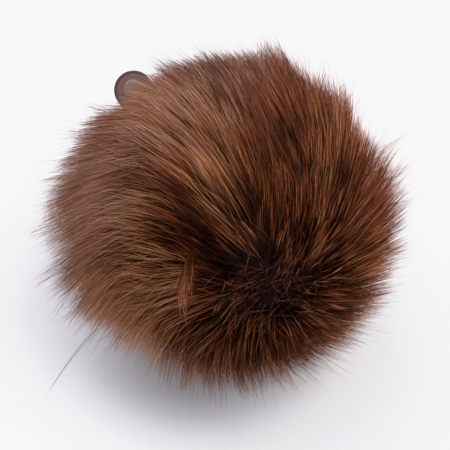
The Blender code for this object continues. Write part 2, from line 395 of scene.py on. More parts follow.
@dataclass(frozen=True)
class TabPlace:
    """Where the tab is: its origin is the middle of its round end, and its face is to the viewer."""

    end: tuple[float, float, float] = (-35.5, 50.0, 15.7)
    heading: tuple[float, float, float] = (-0.59, 0.62, 0.52)
    width: float = 15.0 * MM
    thickness: float = 1.6 * MM
    seat_gap: float = 0.3 * MM
    edging_radius: float = 0.9 * MM

    # Room that the hair leaves round the strip, over and under its stud, and round its view
    side_room: float = 0.4 * MM
    stud_room: float = 2.4 * MM
    view_room: float = 0.6 * MM
    view_depth: float = 45.0 * MM

    # How far below the middle of the round end the hair is cleared, and how ragged that edge is
    bared: float = 1.6 * MM
    ragged: float = 2.0 * MM

    @property
    def middle(self) -> Array:
        """The middle of the round end."""
        return np.array(self.end) * MM + CENTRE

    @property
    def axes(self) -> Array:
        """Rows: across the tab, along it to its end, and out of its face."""
        along = unit(np.array(self.heading))
        facing = unit(SIGHT.near - along * (SIGHT.near @ along))
        return np.stack((np.cross(along, facing), along, facing))

    def to_own(self, points: Array) -> Array:
        """Returns points told across, along and out of the tab."""
        return (points - self.middle) @ self.axes.T

    def to_world(self, points: Array) -> Array:
        """Returns the tab's own points in the part's frame."""
        return points @ self.axes + self.middle

    def root(self, across: Array) -> Array:
        """Returns how far along the strip starts, just off the pelt ball, at places across it."""
        own_centre = self.to_own(CENTRE)
        height = abs(own_centre[2]) - self.thickness / 2
        level = (PELT_RADIUS + self.seat_gap) ** 2 - height**2
        return own_centre[1] + np.sqrt(level - (across - own_centre[0]) ** 2)

    def free_share(self, paths: Array, chance: np.random.Generator) -> Array:
        """Returns how much of each hair is kept, so that it clears the tab and the view on its end.

        A hair ends where it would enter the strip or its stud, or pass in front of the outer part
        of the round end. The edge of that view is ragged.

        Args:
            paths: stops of each hair, (hairs, stops, 3).
            chance: the seeded draws for the ragged edge.
        """
        shares = np.linspace(0, 1, 25)
        own = self.to_own(along_path(paths, shares))
        sideways, outwards, height = own[..., 0], own[..., 1], own[..., 2]
        half = self.width / 2 + self.side_room
        in_strip = (np.abs(sideways) < half) & (outwards < half) & (np.abs(height) < self.stud_room)
        lowest = chance.normal(size=(len(paths), 1)) * self.ragged - self.bared
        seen = np.hypot(sideways, outwards) < half + self.view_room
        in_view = seen & (outwards > lowest) & (height > 0) & (height < self.view_depth)
        blocked = in_strip | in_view
        first = np.where(blocked.any(axis=1), blocked.argmax(axis=1), len(shares))
        return np.clip((first - 1) / (len(shares) - 1), 0, 1)


def along_path(paths: Array, shares: Array) -> Array:
    """Returns points at shares of each path's stops, straight from stop to stop.

    Args:
        paths: stops, (hairs, stops, 3).
        shares: one row of shares for all hairs, or a row for each hair.

    Returns:
        Points, (hairs, shares, 3).
    """
    last = paths.shape[1] - 1
    placed = np.clip(np.broadcast_to(shares, (len(paths), np.shape(shares)[-1])), 0, 1) * last
    before = np.minimum(placed.astype(int), last - 1)
    past = (placed - before)[..., None]
    row = np.arange(len(paths))[:, None]
    return paths[row, before] * (1 - past) + paths[row, before + 1] * past


TAB = TabPlace()


def triangle_mesh(name: str, points: Array, faces: Array, chart: Array | None = None) -> bpy.types.Mesh:
    """Makes a smooth mesh of triangles from arrays.

    Args:
        name: the mesh's name.
        points: corners, one row each.
        faces: three corner numbers a row.
        chart: a place on the map for each corner.

    Returns:
        The mesh.
    """
    mesh = bpy.data.meshes.new(name)
    mesh.vertices.add(len(points))
    mesh.vertices.foreach_set("co", points.astype(np.float32).ravel())
    mesh.loops.add(faces.size)
    mesh.loops.foreach_set("vertex_index", faces.astype(np.int32).ravel())
    mesh.polygons.add(len(faces))
    mesh.polygons.foreach_set("loop_start", np.arange(0, faces.size, 3, dtype=np.int32))
    if chart is not None:
        layer = mesh.uv_layers.new(name=HAIR_MAP)
        layer.data.foreach_set("uv", chart[faces.ravel()].astype(np.float32).ravel())
    mesh.update(calc_edges=True)
    mesh.validate()
    mesh.shade_smooth()
    return mesh


def add_piece(
    name: str, mesh: bpy.types.Mesh, material: bpy.types.Material, slot: str, *nodes: str
) -> bpy.types.Object:
    """Links a mesh as a piece that rides on the object and stands for the named nodes.

    Args:
        name: the piece's name.
        mesh: its mesh.
        material: its material.
        slot: the slot that the material fills; not used.
        nodes: the nodes that the piece replaces.

    Returns:
        The object.
    """
    mesh.materials.append(material)
    piece = bpy.data.objects.new(name, mesh)
    bpy.context.scene.collection.objects.link(piece)
    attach(piece, "root")
    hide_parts(*nodes)
    LOG.info("%s: %d faces", name, len(mesh.polygons))
    return piece


def hair_mesh(name: str, paths: Array, girths: Array, tints: Array, twists: Array) -> bpy.types.Mesh:
    """Makes three-sided hairs that run to a point.

    Each stop but the last carries a ring of three corners, at the hair's girth from its path, and
    the last stop is the point. A corner's place on the map is (tint, share of the length), set a
    little aside and askew so that each hair covers some of the map.

    Args:
        name: the mesh's name.
        paths: stops of each hair, (hairs, stops, 3).
        girths: half width at each stop but the last, (hairs, stops - 1).
        tints: tint at each stop, 0 to 1.
        twists: how each hair's three sides are turned, in radians.

    Returns:
        The mesh.
    """
    hairs, stops, _ = paths.shape
    rings = stops - 1
    ahead = unit(np.diff(paths, axis=1))
    heading = unit(np.concatenate((ahead[:, :1], ahead[:, :-1] + ahead[:, 1:]), axis=1))
    level = unit(np.cross(heading, paths[:, :-1] - CENTRE))
    over = np.cross(level, heading)
    turns = (twists[:, None, None] + np.arange(3) * (math.tau / 3))[..., None]
    ring = level[:, :, None] * np.cos(turns) + over[:, :, None] * np.sin(turns)
    ring = paths[:, :-1, None] + ring * girths[:, :, None, None]
    points = np.concatenate((ring.reshape(hairs, rings * 3, 3), paths[:, -1:]), axis=1)
    corners = np.arange(rings * 3).reshape(rings, 3)
    after = np.roll(corners, -1, axis=1)
    lower, upper = corners[:-1], corners[1:]
    lower_after, upper_after = after[:-1], after[1:]
    tip = np.full(3, rings * 3)
    one_hair = np.concatenate(
        (
            np.stack((lower, upper, lower_after), axis=-1).reshape(-1, 3),
            np.stack((lower_after, upper, upper_after), axis=-1).reshape(-1, 3),
            np.stack((corners[-1], tip, after[-1]), axis=-1),
            corners[:1],
        )
    )
    faces = one_hair[None] + (np.arange(hairs) * (rings * 3 + 1))[:, None, None]
    aside, askew, border = 0.006, 0.004, 0.002
    across = np.concatenate((np.tile((-aside, 0.0, aside), rings), (0.0,)))
    tint_there = np.concatenate((np.repeat(tints[:, :-1], 3, axis=1), tints[:, -1:]), axis=1)
    along = np.concatenate((np.repeat(np.arange(rings) / rings, 3), (1.0,)))
    along[1:-1:3] += askew
    chart = np.empty((hairs, rings * 3 + 1, 2))
    chart[..., 0] = tint_there + across
    chart[..., 1] = np.clip(along, border, 1 - border)
    return triangle_mesh(name, points.reshape(-1, 3), faces.reshape(-1, 3), chart.reshape(-1, 2))


class HairKind(Enum):
    """The two kinds of dyed hair, a pinkish brown and a red; their shares by place paint the ball's light
    and shade.
    """

    FADED = 0.02
    RICH = 0.525

    def tint(self, depth: Array) -> Array:
        """Returns the place on the map of a depth from 0, dark, to 1, pale."""
        return self.value + TONE_SPAN * np.clip(depth, 0, 1)


@dataclass(frozen=True)
class Finish:
    """What all finishes share: a name and a roughness."""

    name: str = "finish"
    roughness: float = 0.5

    def start(self) -> tuple[bpy.types.Material, bpy.types.NodeTree, bpy.types.ShaderNode]:
        """Returns a new material of this name, its node tree, and its shader at this roughness."""
        material = bpy.data.materials.new(self.name)
        material.use_nodes = True
        tree = material.node_tree
        shader = tree.nodes["Principled BSDF"]
        shader.inputs["Roughness"].default_value = self.roughness
        return material, tree, shader


@dataclass(frozen=True)
class GuardHair(Finish):
    """Dyed long guard hair: smooth round hairs, dark at the root, partly their own tone and mostly painted
    shade deep in the fur, whose tips take the light.
    """

    name: str = "dyed_guard_hair"
    roughness: float = 0.36
    ior: float = 1.5
    gloss_tint: str = "c88c66"

    # Tones across the map, from dark to pale, of each kind of hair, then the painted shade up a hair: dark
    # at the root, partly the hair's own darker root and mostly painted shade deep in the fur
    faded_tones = ((0.0, "140806"), (0.15, "42211a"), (0.27, "824a3a"), (0.38, "c07e66"), (0.49, "ffc6a8"))
    rich_tones = ((0.51, "120603"), (0.65, "461909"), (0.77, "863f1e"), (0.88, "cf7038"), (0.99, "f4b07c"))
    painted_root_shade = ((0.0, "161010"), (0.35, "5c5452"), (0.68, "bebab8"), (0.9, "ffffff"))

    def material(self) -> bpy.types.Material:
        """Builds the material: tint and the painted root-to-tip shade are read from the hair's own map."""
        material, tree, shader = self.start()
        shader.inputs["IOR"].default_value = self.ior
        shader.inputs["Specular Tint"].default_value = linear(self.gloss_tint)
        chart = add_node(tree, "ShaderNodeUVMap", {"uv_map": HAIR_MAP})
        parts = add_node(tree, "ShaderNodeSeparateXYZ", links={"Vector": chart.outputs["UV"]})
        product = add_node(tree, "ShaderNodeMix", {"data_type": "RGBA", "blend_type": "MULTIPLY"})
        product.inputs["Factor"].default_value = 1.0
        bands = (
            # (place read, stops, input of the product)
            (parts.outputs["X"], self.faded_tones + self.rich_tones, 6),
            (parts.outputs["Y"], self.painted_root_shade, 7),
        )
        for source, stops, number in bands:
            ramp = add_node(tree, "ShaderNodeValToRGB", links={"Fac": source})
            elements = ramp.color_ramp.elements
            while len(elements) < len(stops):
                elements.new(0.5)
            for element, (place, colour) in zip(elements, stops):
                element.position = place
                element.color = linear(colour)
            tree.links.new(ramp.outputs["Color"], product.inputs[number])
        tree.links.new(product.outputs[2], shader.inputs["Base Color"])
        return material


@dataclass(frozen=True)
class UnderWool(Finish):
    """Dense short wool under the guard hair: crimped and matt, painted dark for the shade deep in the fur,
    so that gaps look deep.
    """

    name: str = "underfur_painted_shade"
    # Painted shade: the wool's colours are near black for the shade deep under the guard hair
    colour: str = "3a2016"
    dark: str = "1a0d08"
    roughness: float = 0.95
    crimp_mm: float = 0.8

    def material(self) -> bpy.types.Material:
        """Builds the wool's crimp from twisted noise of its real size, as colour and as relief."""
        material, tree, shader = self.start()
        place = add_node(tree, "ShaderNodeTexCoord").outputs["Object"]
        size = {"Scale": 1000 / self.crimp_mm, "Detail": 4.0, "Distortion": 1.5}
        crimp = add_node(tree, "ShaderNodeTexNoise", size, {"Vector": place})
        band = add_node(tree, "ShaderNodeValToRGB", links={"Fac": crimp.outputs["Fac"]})
        band.color_ramp.elements[0].position = 0.3
        band.color_ramp.elements[0].color = linear(self.dark)
        band.color_ramp.elements[1].position = 0.7
        band.color_ramp.elements[1].color = linear(self.colour)
        relief = {"Strength": 0.8, "Distance": 0.0005}
        bump = add_node(tree, "ShaderNodeBump", relief, {"Height": crimp.outputs["Fac"]})
        tree.links.new(band.outputs["Color"], shader.inputs["Base Color"])
        tree.links.new(bump.outputs["Normal"], shader.inputs["Normal"])
        return material


@dataclass
class FurBall:
    """The pelt ball: its underfur, painted dark for the shade deep in the fur, and its guard hair, combed
    round from the whorl.
    """

    combing: Combing = Combing()
    tufts: int = 230
    clumps: int = 1850
    strands_in_clump: int = 6
    hairs_in_strand: int = 5
    fans: int = 5
    stops: int = 4
    strides: int = 6
    lean: float = math.radians(40.0)
    straightness: float = 0.75
    girth: float = 0.105 * MM
    # Tips a little paler: partly their own tone, partly painted light shining through them
    pale_tip_and_painted_light: float = 0.10
    cover: float = 7.0 * MM
    # Painted highlights: the share of glint hairs and how much lighter they are painted, and the painted
    # shade on the rest
    glint_share: float = 0.2
    glint: float = 0.36
    unlit: float = -0.08
    longer_share: float = 0.12
    lowest_root: float = -0.92
    tuft_pull: float = 0.38
    bend_pitch: float = 30.0 * MM
    bend_degrees: float = 6.0
    tangle: float = 14.0
    tangle_degrees: float = 13.0

    # Tone: its middle, and its spread from strand to strand and from hair to hair
    middle_tone: float = 0.46
    strand_spread: float = 0.20
    hair_spread: float = 0.16

    # Half width of a hair at each stop but the last, and how far a strand has drawn together
    profile = (0.8, 1.0, 0.75)
    drawn = (0.0, 0.4, 0.75, 0.9)

    # Underfur: its radius to the pelt's, its lumps, and the rows and columns of its mesh
    underfur_share: float = 1.06
    lump_pitch: float = 9.0 * MM
    underfur_grid: tuple[int, int] = (60, 120)
    seed: int = 11
    material: bpy.types.Material | None = field(default=None, init=False)

    def spread_roots(self, count: int) -> Array:
        """Returns directions spread evenly by the golden angle, but for those pressed on the table."""
        number = np.arange(count) + 0.5
        height = 1 - 2 * number / count
        turn = number * math.pi * (3 - math.sqrt(5))
        level = np.sqrt(1 - height**2)
        spots = np.stack((level * np.cos(turn), level * np.sin(turn), height), axis=-1)
        return spots[height > self.lowest_root]

    def lean_at(self, places: Array) -> Array:
        """Returns how far round the ball a hair leans: least at the whorl, far behind and low behind."""
        from_whorl = np.arccos(np.clip(places @ self.combing.pole, -1, 1))
        low = smooth((-places[..., 2] - 0.25) / 0.5)
        behind = smooth((from_whorl - 0.95) / 0.6)
        return self.lean * np.sin(from_whorl) ** 0.8 * (1 - 0.85 * low * behind)

    def lay(self, roots: Array, turn: Array, length: Array, lean: Array, stops: int = 4) -> Array:
        """Lays hairs over the ball.

        A hair walks from its root along the combing. Its height goes from the pelt to the reach
        there, as 1 - (1 - s)^1.4 of its length s, and it is then drawn part of the way to the
        straight line from root to tip, so that its tip stands off the ball.

        Args:
            roots: directions of the roots.
            turn: each hair's own turn, in radians.
            length: each hair's length as a share of the reach.
            lean: how far round the ball each hair goes, in radians.
            stops: how many of the strides' ends are kept, root and tip among them.

        Returns:
            Stops of each hair in the part's frame, (hairs, stops, 3).
        """
        steps = self.combing.walk(roots, turn, lean, self.strides)
        share = np.linspace(0, 1, self.strides + 1)
        inner = PELT_RADIUS * 0.95
        outer = self.combing.reach(steps[:, -1]) * length
        height = inner + (outer - inner)[:, None] * (1 - (1 - share) ** 1.4)
        points = CENTRE + steps * height[..., None]
        straight = points[:, :1] + (points[:, -1:] - points[:, :1]) * share[:, None]
        points = points + (straight - points) * self.straightness
        return points[:, :: self.strides // (stops - 1)]

    def hairs(self) -> tuple[Array, Array, Array, Array, Array]:
        """Lays the guard hair in clumps, whose tips draw together.

        Returns:
            Stops, girths, tints and twists of the hairs, a row for each clump, and the clumps' roots.
        """
        chance = np.random.default_rng(self.seed)
        along = np.linspace(0, 1, self.stops)
        tuft_roots = self.spread_roots(self.tufts)
        tuft_roots = unit(tuft_roots + chance.normal(size=tuft_roots.shape) * 0.05)
        bends = Waves(3, self.bend_pitch)
        tuft_bend = np.radians(bends.at(tuft_roots) * self.bend_degrees)
        tuft_length = 1.04 + chance.normal(size=len(tuft_roots)) * 0.05
        tuft_paths = self.lay(tuft_roots, tuft_bend, tuft_length, self.lean_at(tuft_roots))
        centres = self.spread_roots(self.clumps)
        count, crew = len(centres), self.strands_in_clump * self.hairs_in_strand
        spacing = math.sqrt(4 * math.pi / self.clumps)
        centres = unit(centres + chance.normal(size=centres.shape) * spacing * 0.3)
        bend = np.radians(bends.at(centres) * self.bend_degrees + chance.normal(size=count) * 3)
        clump_length = 0.98 + Waves(4, 22 * MM).at(centres) * 0.015 + chance.normal(size=count) * 0.02
        guide = self.lay(centres, bend, clump_length * 1.02, self.lean_at(centres))
        tuft = np.argmax(centres @ tuft_roots.T, axis=1)
        guide = guide + (tuft_paths[tuft] - guide) * (self.tuft_pull * along**2)[:, None]
        roots = unit(centres[:, None] + chance.normal(size=(count, crew, 3)) * spacing * 0.62)
        from_whorl = np.degrees(np.arccos(np.clip(roots @ self.combing.pole, -1, 1)))
        tangle = 1 + self.tangle * np.exp(-((from_whorl / self.tangle_degrees) ** 2))
        turn = bend[:, None] + np.radians(chance.normal(size=(count, crew)) * 4 * tangle)
        length = clump_length[:, None] * (1 - np.abs(chance.normal(size=(count, crew))) * 0.05)
        longer = chance.uniform(size=(count, crew)) < self.longer_share
        length = np.where(longer, length * chance.uniform(1.02, 1.13, (count, crew)), length)
        lean = self.lean_at(roots) * chance.uniform(0.8, 1.2, (count, crew))
        paths = self.lay(roots.reshape(-1, 3), turn.ravel(), length.ravel(), lean.ravel())
        paths = paths.reshape(count, crew, self.stops, 3)
        pull = chance.uniform(0.2, 0.65, (count, 1)) * chance.uniform(0.6, 1.0, (count, crew))
        pull = np.where(longer, pull * 0.5, pull)
        gather = pull[..., None, None] * (along**1.5)[:, None]
        paths = paths + (guide[:, None] - paths) * gather
        paths = self.draw_strands(paths, chance)
        paths = over_the_table(paths, self.girth * 1.3)
        glints = chance.uniform(size=(count, crew)) < self.glint_share
        tints = self.tones(centres, paths, glints, chance)
        girths = self.girth * chance.uniform(0.75, 1.2, (count, crew, 1)) * np.array(self.profile)
        girths = np.where(longer[..., None], girths * 0.75, girths)
        girths = np.where(glints[..., None], girths * 1.06, girths * 0.98)
        twists = chance.uniform(0, math.tau, (count, crew))
        return paths, girths, tints, twists, centres

    def draw_strands(self, paths: Array, chance: np.random.Generator) -> Array:
        """Draws the hairs of each strand towards its first hair, more and more to the tip."""
        count, _, stops, _ = paths.shape
        strands = paths.reshape(count, self.strands_in_clump, self.hairs_in_strand, stops, 3)
        pull = chance.uniform(0.15, 0.6, strands.shape[:2] + (1, 1, 1)) * np.array(self.drawn)[:, None]
        return (strands + (strands[:, :, :1] - strands) * pull).reshape(paths.shape)

    def tones(self, centres: Array, paths: Array, glints: Array, chance: np.random.Generator) -> Array:
        """Returns each stop's tint: a share of the faded or the rich tones, by clump, strand and hair.

        A hair is of one kind all along. Its depth follows the painted light and shade of the folds where
        each stop lies.

        Args:
            centres: the clumps' roots, as directions.
            paths: stops of each hair, (clumps, hairs, stops, 3).
            glints: which hairs are painted lighter as highlights.
            chance: the seeded draws.
        """
        count, crew, stops, _ = paths.shape
        clump = Waves(5, 14 * MM).at(centres) * 0.05 + chance.normal(size=count) * 0.06
        strand = chance.normal(size=(count, self.strands_in_clump)) * self.strand_spread
        strand = np.repeat(strand, self.hairs_in_strand, axis=1)
        hair = chance.normal(size=(count, crew)) * self.hair_spread
        # Painted highlight on the glint hairs, painted shade on the others
        hair = hair + np.where(glints, self.glint, self.unlit)
        off_centre = paths - CENTRE
        # The folds' painted light and shade where each stop lies
        painted_light_and_shade = self.combing.fold(off_centre)[1]
        change = (clump[:, None] + strand + hair)[..., None] * np.clip(1 + 1.7 * painted_light_and_shade, 0.35, 1.25)
        # The tips end a little paler: partly their own tone, partly painted light
        depth = self.middle_tone + painted_light_and_shade + change + self.pale_tip_and_painted_light * np.linspace(0, 1, stops) ** 2
        # Share of rich hair by place: the painted light and shade of the ball's sides
        rich = self.combing.painted_light_richness(off_centre[:, :, -1]) + strand
        is_rich = chance.uniform(size=(count, crew, 1)) < rich[..., None]
        return np.where(is_rich, HairKind.RICH.tint(depth), HairKind.FADED.tint(depth))

    def grow(self) -> None:
        """Grows the guard hair, one piece for each fan round the whorl."""
        paths, girths, tints, twists, centres = self.hairs()
        count, crew, _ = tints.shape
        paths = paths.reshape(-1, self.stops, 3)
        free = TAB.free_share(paths, np.random.default_rng(self.seed + 1))
        paths = along_path(paths, np.linspace(0, 1, self.stops) * free[:, None])
        paths = paths.reshape(count, crew, self.stops, 3)
        kept = free.reshape(count, crew) > KEPT_SHARE
        order = np.argsort(self.combing.place_round(centres))
        for number, fan in enumerate(np.array_split(order, self.fans)):
            mesh = hair_mesh(
                f"fur_fan_{number + 1}",
                paths[fan][kept[fan]],
                girths[fan][kept[fan]],
                tints[fan][kept[fan]],
                twists[fan][kept[fan]],
            )
            add_piece(mesh.name, mesh, self.material, "long_fur", "fur")

    def underfur(self) -> None:
        """Builds the underfur: a closed lumpy ball just over the pelt, flat on the table.

        A place at polar angle p and angle a round lies at the radius along (sin p cos a, sin p
        sin a, cos p). The radius swells a little to the bottom and stays under the guard hair.
        """
        rows, columns = self.underfur_grid
        polar = np.linspace(0, math.pi, rows + 1)[1:-1]
        round_it = np.arange(columns) * (math.tau / columns)
        grid = np.stack(
            (
                np.sin(polar)[:, None] * np.cos(round_it),
                np.sin(polar)[:, None] * np.sin(round_it),
                np.repeat(np.cos(polar)[:, None], columns, axis=1),
            ),
            axis=-1,
        )
        places = np.concatenate((grid.reshape(-1, 3), ((0, 0, 1.0), (0, 0, -1.0))))
        lumps = 1 + Waves(8, self.lump_pitch).at(places) * 0.01
        swell = np.where(places[:, 2] < 0, 1 + 0.2 * places[:, 2] ** 2, 1.0)
        radius = PELT_RADIUS * self.underfur_share * lumps * swell
        radius = np.minimum(radius, self.combing.reach(places) - self.cover)
        points = CENTRE + places * radius[:, None]
        points = over_the_table(points, 0.05 * MM)
        number = np.arange((rows - 1) * columns).reshape(rows - 1, columns)
        beside = np.roll(number, -1, axis=1)
        quads = [(number[:-1], number[1:], beside[:-1]), (beside[:-1], number[1:], beside[1:])]
        faces = [np.stack(corners, axis=-1).reshape(-1, 3) for corners in quads]
        top, bottom = len(places) - 2, len(places) - 1
        faces.append(np.stack((np.full(columns, top), number[0], beside[0]), axis=-1))
        faces.append(np.stack((np.full(columns, bottom), beside[-1], number[-1]), axis=-1))
        mesh = triangle_mesh("underfur", points, np.concatenate(faces))
        piece = add_piece("underfur", mesh, UnderWool().material(), "long_fur", "fur")

    def build(self) -> None:
        """Builds the underfur, then the guard hair and the loose hairs in one material."""
        self.material = GuardHair().material()
        self.underfur()
        self.grow()
        LooseHair(self).build()


@dataclass
class LooseHair:
    """Hairs outside the combing: fly-aways, those crossed over the whorl, a tuft and two shed ones."""

    fur: FurBall
    flyaways: int = 2100
    crossed: int = 130
    tuft_hairs: int = 64
    stops: int = 7
    girth: float = 0.085 * MM
    lowest_root: float = -0.75
    seed: int = 29

    # The tuft's root and tip, on the picture, in mm
    tuft_root = (-15.0, -14.0)
    tuft_tip = (-15.5, -28.5)

    # Pointed wisps that stand off the outline: angle in the picture and how far past the reach
    wisps = (
        # (angle, past in mm)
        (79, 8.0),
        (73, 6.0),
        (66, 7.0),
        (59, 7.0),
        (49, 8.0),
        (44, 5.0),
        (25, 8.0),
        (16, 5.0),
        (8, 4.0),
        (350, 4.0),
        (100, 4.0),
        (116, 4.0),
        (142, 8.0),
        (154, 6.0),
        (170, 5.0),
        (186, 6.0),
        (200, 6.0),
        (214, 5.0),
        (266, 6.0),
        (276, 5.0),
        (288, 4.0),
    )
    hairs_in_wisp: int = 15

    # Middle of the crossed hairs on the picture, in mm
    crossing = (14.5, -28.5)

    # Shed hairs on the table: places of three stops, in mm
    shed = (
        ((-50.0, -15.0, 1.5), (-58.0, -26.0, 0.3), (-67.0, -45.0, 0.3)),
        ((-12.0, -34.0, 6.0), (-15.0, -38.0, 0.8), (-18.5, -41.5, 0.3)),
    )

    def fly(self, chance: np.random.Generator) -> tuple[Array, Array]:
        """Lays fly-away hairs, longer and more loosely turned than the combed ones."""
        count = self.flyaways
        roots = unit(chance.normal(size=(count, 3)))
        roots = roots[roots[:, 2] > self.lowest_root]
        count = len(roots)
        turn = np.radians(chance.normal(size=count) * 14)
        length = chance.uniform(1.0, 1.12, count)
        lean = self.fur.lean_at(roots) * chance.uniform(0.5, 1.2, count)
        paths = self.fur.lay(roots, turn, length, lean, self.stops)
        return paths, 0.55 + chance.normal(size=count) * 0.2

    def cross(self, chance: np.random.Generator) -> tuple[Array, Array]:
        """Lays thin hairs every way over the whorl, low in its hollow."""
        count = self.crossed
        where = chance.normal(size=(2, count)) * np.array((12.0, 7.0))[:, None] * MM
        middle = np.array(self.crossing)[:, None] * MM + where
        places = SIGHT.place_at(middle[0], middle[1])
        across = unit(np.cross(places, chance.normal(size=(count, 3))))
        half = chance.uniform(3.0, 7.0, count)[:, None, None] * MM
        share = np.linspace(-1, 1, self.stops)[:, None]
        height = self.fur.combing.reach(places) - chance.uniform(2.0, 8.0, count) * MM
        bow = unit(np.cross(places, across)) * chance.normal(size=(count, 1)) * 0.12
        paths = CENTRE + (places * height[:, None])[:, None]
        paths = paths + across[:, None] * share * half + bow[:, None] * (share**2) * half
        paths = paths + places[:, None] * share * half * chance.normal(size=(count, 1, 1)) * 0.3
        return paths, 0.6 + chance.normal(size=count) * 0.2

    def tuft(self, chance: np.random.Generator) -> tuple[Array, Array]:
        """Lays the tuft that has slipped out of the combing and hangs across it, spread at its tip."""
        count = self.tuft_hairs
        aside = chance.normal(size=count)
        root_spread = np.stack((aside * 0.5, chance.normal(size=count) * 2.0))
        tip_spread = np.stack((aside * 1.5, chance.normal(size=count) * 3.5))
        root = np.array(self.tuft_root)[:, None] + root_spread
        tip = np.array(self.tuft_tip)[:, None] + tip_spread
        share = np.linspace(0, 1, self.stops)
        bow = chance.normal(size=(count, 1)) * 0.6 * np.sin(math.pi * share)
        on_picture = (root[..., None] + (tip - root)[..., None] * share) * MM
        on_picture[0] += bow * MM
        places = SIGHT.place_at(on_picture[0], on_picture[1])
        over = np.interp(share, (0, 0.35, 1), (-14.0, -1.5, -1.0)) * MM
        height = self.fur.combing.reach(places) + over - chance.uniform(0, 2.0, (count, 1)) * MM
        paths = CENTRE + places * height[..., None]
        return paths, 0.8 + chance.normal(size=count) * 0.22

    def wisp(self, chance: np.random.Generator) -> tuple[Array, Array]:
        """Lays the wisps: each comes over the ball's edge from the front and draws to a loose point."""
        table = np.repeat(np.array(self.wisps), self.hairs_in_wisp, axis=0)
        count = len(table)
        turn = np.radians(table[:, :1] + chance.normal(size=(count, 1)) * 1.6)
        edge = unit(SIGHT.right * np.cos(turn) + SIGHT.up * np.sin(turn) + SIGHT.near * 0.12)
        before = turn - np.radians(7)
        start = SIGHT.right * np.cos(before) + SIGHT.up * np.sin(before)
        back = np.radians(chance.uniform(15, 35, (count, 1)))
        spread = chance.normal(size=(count, 3)) * 0.05
        root = unit(start * np.cos(back) + SIGHT.near * np.sin(back) + spread)
        share = np.linspace(0, 1, self.stops)[:, None]
        places = unit(root[:, None] * (1 - share) + edge[:, None] * share)
        past = table[:, 1] * chance.uniform(-0.2, 1.0, count) * MM
        outer = self.fur.combing.reach(edge) + past
        height = PELT_RADIUS + (outer - PELT_RADIUS)[:, None] * (1 - (1 - share[:, 0]) ** 1.3)
        return CENTRE + places * height[..., None], 0.6 + chance.normal(size=count) * 0.18

    def lie_shed(self) -> tuple[Array, Array]:
        """Lays the shed hairs on smooth curves through their three places."""
        share = np.linspace(0, 1, self.stops)[:, None]
        first, middle, last = np.moveaxis(np.array(self.shed) * MM, 1, 0)[:, :, None]
        bend = 2 * middle - (first + last) / 2
        paths = first * (1 - share) ** 2 + bend * 2 * share * (1 - share) + last * share**2
        return paths, np.full(len(paths), 0.1)

    def build(self) -> None:
        """Builds all the loose hairs as one piece."""
        chance = np.random.default_rng(self.seed)
        sorts = (
            # (paths and tones, kind, share of the girth)
            (self.fly(chance), HairKind.FADED, 0.75),
            (self.cross(chance), HairKind.FADED, 0.62),
            (self.tuft(chance), HairKind.RICH, 0.9),
            (self.wisp(chance), HairKind.RICH, 0.9),
            (self.lie_shed(), HairKind.FADED, 1.3),
        )
        paths = np.concatenate([laid for (laid, _), _, _ in sorts])
        tints = np.concatenate([kind.tint(depths) for (_, depths), kind, _ in sorts])
        widths = np.concatenate([np.full(len(laid), share) for (laid, _), _, share in sorts])
        free = TAB.free_share(paths, chance)
        paths = along_path(paths, np.linspace(0, 1, self.stops) * free[:, None])
        paths = over_the_table(paths, self.girth * 1.5)
        kept = free > KEPT_SHARE
        girths = self.girth * widths[kept, None] * np.linspace(1.0, 0.55, self.stops - 1)
        tint_there = np.repeat(tints[kept, None], self.stops, axis=1)
        twists = chance.uniform(0, math.tau, int(kept.sum()))
        mesh = hair_mesh("loose_hair", paths[kept], girths, tint_there, twists)
        add_piece(mesh.name, mesh, self.fur.material, "long_fur", "fur")


@dataclass(frozen=True)
class GrainedLeather(Finish):
    """Thin dyed leather: a fine pebbled grain under a satin finish, that dulls the light evenly."""

    name: str = "grained_leather"
    colour: str = "7c5c50"
    dark: str = "573f36"
    roughness: float = 0.5
    grain_mm: float = 0.45
    blotch_mm: float = 2.86

    def material(self) -> bpy.types.Material:
        """Builds the grain from cells of its real size, as colour and as relief."""
        material, tree, shader = self.start()
        place = add_node(tree, "ShaderNodeTexCoord").outputs["Object"]
        cells = add_node(tree, "ShaderNodeTexVoronoi", {"Scale": 1000 / self.grain_mm}, {"Vector": place})
        size = {"Scale": 1000 / self.blotch_mm, "Detail": 4.0}
        blotch = add_node(tree, "ShaderNodeTexNoise", size, {"Vector": place})
        mixed = add_node(tree, "ShaderNodeMath", {"operation": "MULTIPLY"})
        tree.links.new(cells.outputs["Distance"], mixed.inputs[0])
        tree.links.new(blotch.outputs["Fac"], mixed.inputs[1])
        band = add_node(tree, "ShaderNodeValToRGB", links={"Fac": mixed.outputs["Value"]})
        band.color_ramp.elements[0].color = linear(self.colour)
        band.color_ramp.elements[1].color = linear(self.dark)
        relief = {"Strength": 0.5, "Distance": 0.0001}
        bump = add_node(tree, "ShaderNodeBump", relief, {"Height": cells.outputs["Distance"]})
        tree.links.new(band.outputs["Color"], shader.inputs["Base Color"])
        tree.links.new(bump.outputs["Normal"], shader.inputs["Normal"])
        return material


